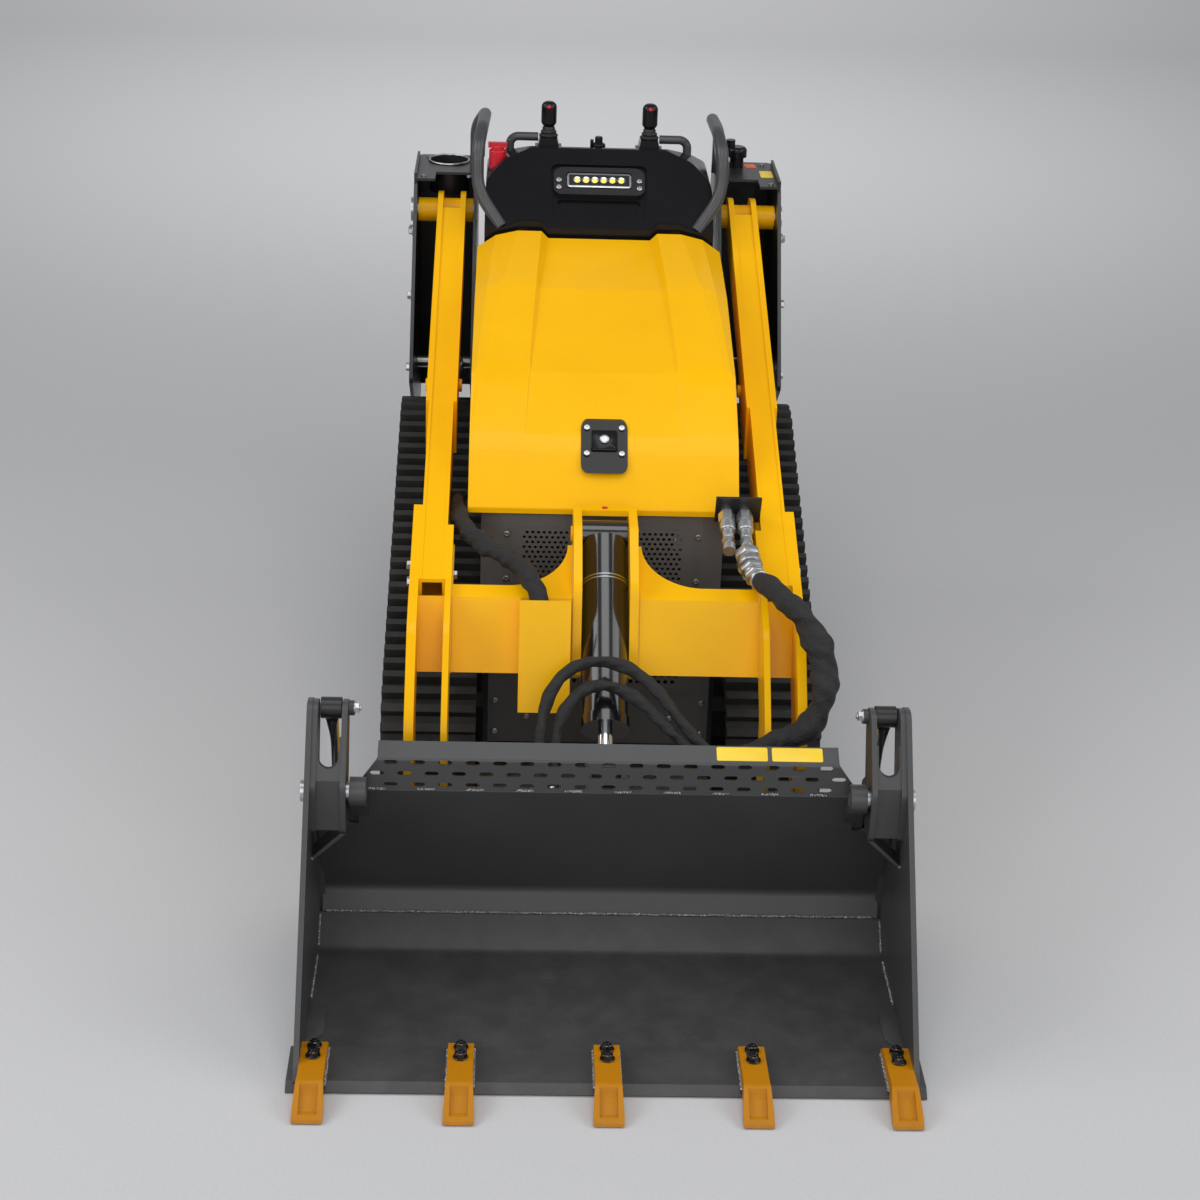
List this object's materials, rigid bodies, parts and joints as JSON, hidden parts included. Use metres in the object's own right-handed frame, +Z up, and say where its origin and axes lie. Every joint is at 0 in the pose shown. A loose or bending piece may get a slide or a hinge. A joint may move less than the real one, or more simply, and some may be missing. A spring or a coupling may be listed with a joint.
{
  "type": "compact track loader",
  "caption": "Stand-on mini compact track loader: triangular rubber tracks, lift arms, tilting clamshell bucket with teeth, opening engine cover and operator levers",
  "frame": {"origin": "on the floor, under the middle of the machine's box", "axes": "+Z up, -Y towards the bucket, +X to the viewer's right when facing the bucket"},
  "size_m": [1.13, 2.586, 1.272],
  "materials": {
    "machine_yellow": "smooth satin paint",
    "panel_grey": "fine matt grey paint",
    "frame_black": "satin black paint",
    "engine_iron": "rough casting",
    "zinc_steel": "zinc plated",
    "moulded_black": "moulded, glossy",
    "lamp_black": "cast lamp body",
    "tube_grey": "semi-gloss paint",
    "pad_vinyl": "soft vinyl",
    "red_plastic": "moulded",
    "track_rubber": "moulded rubber",
    "hose_black": "sleeved hose",
    "cylinder_black": "gloss black paint",
    "chrome_rod": "hard chrome",
    "bucket_grey": "satin dark grey paint, weld spatter",
    "tooth_amber": "painted casting"
  },
  "bodies": {
    "chassis": {"chassis_frame": "frame_black", "engine_block": "engine_iron", "front_grille": "panel_grey", "lower_grille": "panel_grey", "tower_right": "frame_black", "tower_left": "frame_black", "tower_pins": "zinc_steel", "deck_right": "frame_black", "deck_left": "frame_black", "console": "moulded_black", "work_lamp": "lamp_black", "joysticks": "moulded_black", "guard_hoops": "tube_grey", "hand_rests": "tube_grey", "control_panel": "moulded_black", "thigh_pad": "pad_vinyl", "filler_cap": "moulded_black", "battery_switch": "red_plastic", "track_right": "track_rubber", "track_left": "track_rubber", "sprockets": "frame_black", "front_idlers": "frame_black", "rear_idlers": "frame_black", "track_rollers": "frame_black", "track_frames": "frame_black", "drive_motors": "frame_black", "platform": "frame_black"},
    "hood": {"hood": "machine_yellow", "hood_latch": "moulded_black"},
    "boom": {"boom_arm_right": "machine_yellow", "boom_arm_left": "machine_yellow", "bucket_pins": "zinc_steel", "cross_member": "machine_yellow", "tilt_bracket": "machine_yellow", "hose_guard": "machine_yellow", "couplers": "zinc_steel", "hose_brackets": "frame_black", "hose_bundle_left": "hose_black", "hose_bundle_right": "hose_black", "hose_loop_upper": "hose_black", "hose_loop_lower": "hose_black"},
    "tilt_barrel": {"tilt_barrel": "cylinder_black"},
    "tilt_rod": {"tilt_rod": "chrome_rod"},
    "lift_barrel_right": {"lift_barrel_right": "cylinder_black"},
    "lift_rod_right": {"lift_rod_right": "chrome_rod"},
    "lift_barrel_left": {"lift_barrel_left": "cylinder_black"},
    "lift_rod_left": {"lift_rod_left": "chrome_rod"},
    "bucket": {"mouldboard": "bucket_grey", "spill_guard": "bucket_grey", "hitch_plate": "bucket_grey"},
    "clam": {"cutting_edge": "bucket_grey", "clam_shell": "bucket_grey", "clam_levers": "bucket_grey", "clam_pins": "zinc_steel", "bucket_teeth": "tooth_amber"},
    "clam_barrel_right": {"clam_barrel_right": "cylinder_black"},
    "clam_rod_right": {"clam_rod_right": "chrome_rod"},
    "clam_barrel_left": {"clam_barrel_left": "cylinder_black"},
    "clam_rod_left": {"clam_rod_left": "chrome_rod"}
  },
  "joints": [
    {"name": "boom_lift", "type": "hinge", "parent": "chassis", "child": "boom", "pos_m": [0, 0.875, 1.011], "axis": [-1, 0, 0], "range_deg": [0, 66]},
    {"name": "bucket_curl", "type": "hinge", "parent": "boom", "child": "bucket", "pos_m": [0, -0.605, 0.165], "axis": [-1, 0, 0], "range_deg": [-100, 20], "deforming": ["hose_bundle_right", "hose_loop_upper", "hose_loop_lower"]},
    {"name": "clam_open", "type": "hinge", "parent": "bucket", "child": "clam", "pos_m": [0, -0.83, 0.396], "axis": [-1, 0, 0], "range_deg": [0, 50]},
    {"name": "hood_open", "type": "hinge", "parent": "chassis", "child": "hood", "pos_m": [0, 0.648, 1.014], "axis": [-1, 0, 0], "range_deg": [0, 58]},
    {"name": "tilt_swing", "type": "hinge", "parent": "boom", "child": "tilt_barrel", "pos_m": [0, -0.225, 0.656], "axis": [-1, 0, 0], "range_deg": [-7.95, 1.75]},
    {"name": "tilt_stroke", "type": "slide", "parent": "tilt_barrel", "child": "tilt_rod", "axis": [0, -0.8135, -0.5816], "range_m": [-0.0545, 0.2684]},
    {"name": "lift_swing_right", "type": "hinge", "parent": "chassis", "child": "lift_barrel_right", "pos_m": [0.341, 0.855, 0.64], "axis": [-1, 0, 0], "range_deg": [-0.2, 49.19]},
    {"name": "lift_stroke_right", "type": "slide", "parent": "lift_barrel_right", "child": "lift_rod_right", "axis": [0, -0.9699, 0.2434], "range_m": [-0.001, 0.3549]},
    {"name": "lift_swing_left", "type": "hinge", "parent": "chassis", "child": "lift_barrel_left", "pos_m": [-0.341, 0.855, 0.64], "axis": [-1, 0, 0], "range_deg": [-0.2, 49.19]},
    {"name": "lift_stroke_left", "type": "slide", "parent": "lift_barrel_left", "child": "lift_rod_left", "axis": [0, -0.9699, 0.2434], "range_m": [-0.001, 0.3549]},
    {"name": "clam_swing_right", "type": "hinge", "parent": "bucket", "child": "clam_barrel_right", "pos_m": [0.511, -0.645, 0.13], "axis": [-1, 0, 0], "range_deg": [-0.2, 8.39]},
    {"name": "clam_stroke_right", "type": "slide", "parent": "clam_barrel_right", "child": "clam_rod_right", "axis": [0, -0.2302, 0.9732], "range_m": [-0.1227, 0.001]},
    {"name": "clam_swing_left", "type": "hinge", "parent": "bucket", "child": "clam_barrel_left", "pos_m": [-0.511, -0.645, 0.13], "axis": [-1, 0, 0], "range_deg": [-0.2, 8.39]},
    {"name": "clam_stroke_left", "type": "slide", "parent": "clam_barrel_left", "child": "clam_rod_left", "axis": [0, -0.2302, 0.9732], "range_m": [-0.1227, 0.001]}
  ],
  "couplings": [
    {"joint": "tilt_swing", "follows": "bucket_curl", "ratio": 0.0775},
    {"joint": "tilt_stroke", "follows": "bucket_curl", "m_per_rad": -0.15319},
    {"joint": "lift_swing_right", "follows": "boom_lift", "ratio": 0.7422},
    {"joint": "lift_stroke_right", "follows": "boom_lift", "m_per_rad": 0.30727},
    {"joint": "lift_swing_left", "follows": "boom_lift", "ratio": 0.7422},
    {"joint": "lift_stroke_left", "follows": "boom_lift", "m_per_rad": 0.30727},
    {"joint": "clam_swing_right", "follows": "clam_open", "ratio": 0.1638},
    {"joint": "clam_stroke_right", "follows": "clam_open", "m_per_rad": -0.13949},
    {"joint": "clam_swing_left", "follows": "clam_open", "ratio": 0.1638},
    {"joint": "clam_stroke_left", "follows": "clam_open", "m_per_rad": -0.13949}
  ]
}
